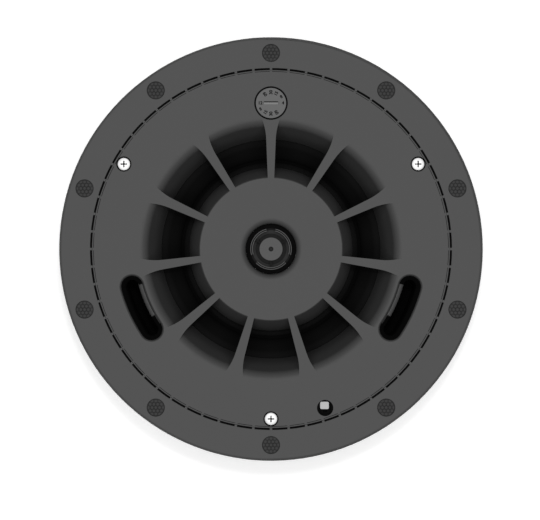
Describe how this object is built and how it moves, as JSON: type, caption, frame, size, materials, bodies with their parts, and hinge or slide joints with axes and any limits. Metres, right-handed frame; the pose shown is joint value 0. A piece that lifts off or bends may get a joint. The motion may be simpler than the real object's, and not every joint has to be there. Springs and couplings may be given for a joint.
{
  "type": "in ceiling speaker",
  "caption": "Round in-ceiling loudspeaker: ribbed bell-mouth baffle with a hub tweeter, tap dial, curved ports, swing-out clamps and a closed steel back can.",
  "frame": {"origin": "on the speaker's axis, in the plane of the ceiling's face, where the skirt meets the flange", "axes": "+Z out of the front into the room, +Y from the centre to the tap dial, +X to the right seen from the front. The part lies on its back can; in a ceiling it is turned over, with +Z down."},
  "size_m": [0.26, 0.26, 0.105],
  "materials": {
    "front_moulding": "satin",
    "magnet_cover": "matte",
    "zinc_screw": "zinc plated",
    "rear_screw": "black oxide",
    "insert_brass": "turned",
    "clamp_plastic": "glass filled",
    "dial_face": "satin",
    "switch_black": "matte",
    "knob_grey": "satin",
    "guard_plastic": "satin",
    "dome_film": "silky",
    "coil_copper": "enamelled",
    "steel_plate": "zinc plated",
    "ferrite": "ground",
    "basket_steel": "black",
    "surround_rubber": "matte",
    "cone_fibre": "fibrous",
    "former_film": "film",
    "spider_cloth": "woven",
    "foam_gasket": "closed-cell foam",
    "can_paint": "powder coat",
    "duct_plastic": "matte",
    "terminal_plastic": "matte",
    "plug_plastic": "gloss",
    "lamination": "varnished",
    "bobbin_wrap": "tape",
    "board_fibre": "solder mask",
    "spacer_nylon": "nylon",
    "choke_wire": "enamelled",
    "capacitor_film": "film"
  },
  "bodies": {
    "root": {"mounting_ring": "front_moulding", "baffle": "front_moulding", "grille_magnet_01": "magnet_cover", "grille_magnet_02": "magnet_cover", "grille_magnet_03": "magnet_cover", "grille_magnet_04": "magnet_cover", "grille_magnet_05": "magnet_cover", "grille_magnet_06": "magnet_cover", "grille_magnet_07": "magnet_cover", "grille_magnet_08": "magnet_cover", "grille_magnet_09": "magnet_cover", "grille_magnet_10": "magnet_cover", "clamp_screw_1": "zinc_screw", "clamp_screw_2": "zinc_screw", "clamp_screw_3": "zinc_screw", "ring_screws": "rear_screw", "tweeter_screws": "rear_screw", "woofer_screws": "rear_screw", "can_screws": "rear_screw", "tap_dial_bezel": "switch_black", "tap_switch": "switch_black", "slide_switch_body": "switch_black", "tweeter_guard": "guard_plastic", "tweeter_dome": "dome_film", "tweeter_coil": "coil_copper", "tweeter_top_plate": "steel_plate", "tweeter_yoke": "steel_plate", "woofer_top_plate": "steel_plate", "woofer_yoke": "steel_plate", "tweeter_magnet": "ferrite", "woofer_magnet": "ferrite", "woofer_basket": "basket_steel", "woofer_surround": "surround_rubber", "spider": "spider_cloth", "ceiling_gasket": "foam_gasket", "can_gasket": "foam_gasket", "back_can": "can_paint", "safety_tab": "can_paint", "port_tube_1": "duct_plastic", "port_tube_2": "duct_plastic", "terminal_cup": "terminal_plastic", "terminal_plug": "plug_plastic", "transformer_core": "lamination", "transformer_bobbin": "bobbin_wrap", "crossover_board": "board_fibre", "board_spacers": "spacer_nylon", "crossover_choke": "choke_wire", "crossover_capacitors": "capacitor_film"},
    "cone": {"woofer_cone": "cone_fibre", "dust_cap": "cone_fibre", "coil_former": "former_film", "voice_coil": "coil_copper"},
    "dial": {"tap_dial_rotor": "dial_face"},
    "selector": {"slide_switch_knob": "knob_grey"},
    "insert_1": {"clamp_insert_1": "insert_brass"},
    "arm_1": {"clamp_arm_1": "clamp_plastic"},
    "insert_2": {"clamp_insert_2": "insert_brass"},
    "arm_2": {"clamp_arm_2": "clamp_plastic"},
    "insert_3": {"clamp_insert_3": "insert_brass"},
    "arm_3": {"clamp_arm_3": "clamp_plastic"}
  },
  "joints": [
    {"name": "cone_travel", "type": "slide", "parent": "root", "child": "cone", "axis": [0, 0, 1], "range_m": [-0.003, 0.003], "stiffness_N_per_m": 1500, "deforming": ["woofer_surround", "spider"]},
    {"name": "dial_turn", "type": "hinge", "parent": "root", "child": "dial", "pos_m": [0, 0.0895, 0.003], "axis": [0, 0, 1], "range_deg": [0, 120]},
    {"name": "selector_slide", "type": "slide", "parent": "root", "child": "selector", "axis": [0, -1, 0], "range_m": [0, 0.003]},
    {"name": "clamp_1_climb", "type": "slide", "parent": "root", "child": "insert_1", "axis": [0, 0, 1], "range_m": [0, 0.045]},
    {"name": "clamp_1_swing", "type": "hinge", "parent": "insert_1", "child": "arm_1", "pos_m": [0.09024, 0.0521, -0.0527], "axis": [0, 0, 1], "range_deg": [0, 98]},
    {"name": "clamp_2_climb", "type": "slide", "parent": "root", "child": "insert_2", "axis": [0, 0, 1], "range_m": [0, 0.045]},
    {"name": "clamp_2_swing", "type": "hinge", "parent": "insert_2", "child": "arm_2", "pos_m": [0, -0.1042, -0.0527], "axis": [0, 0, 1], "range_deg": [0, 98]},
    {"name": "clamp_3_climb", "type": "slide", "parent": "root", "child": "insert_3", "axis": [0, 0, 1], "range_m": [0, 0.045]},
    {"name": "clamp_3_swing", "type": "hinge", "parent": "insert_3", "child": "arm_3", "pos_m": [-0.09024, 0.0521, -0.0527], "axis": [0, 0, 1], "range_deg": [0, 98]}
  ]
}
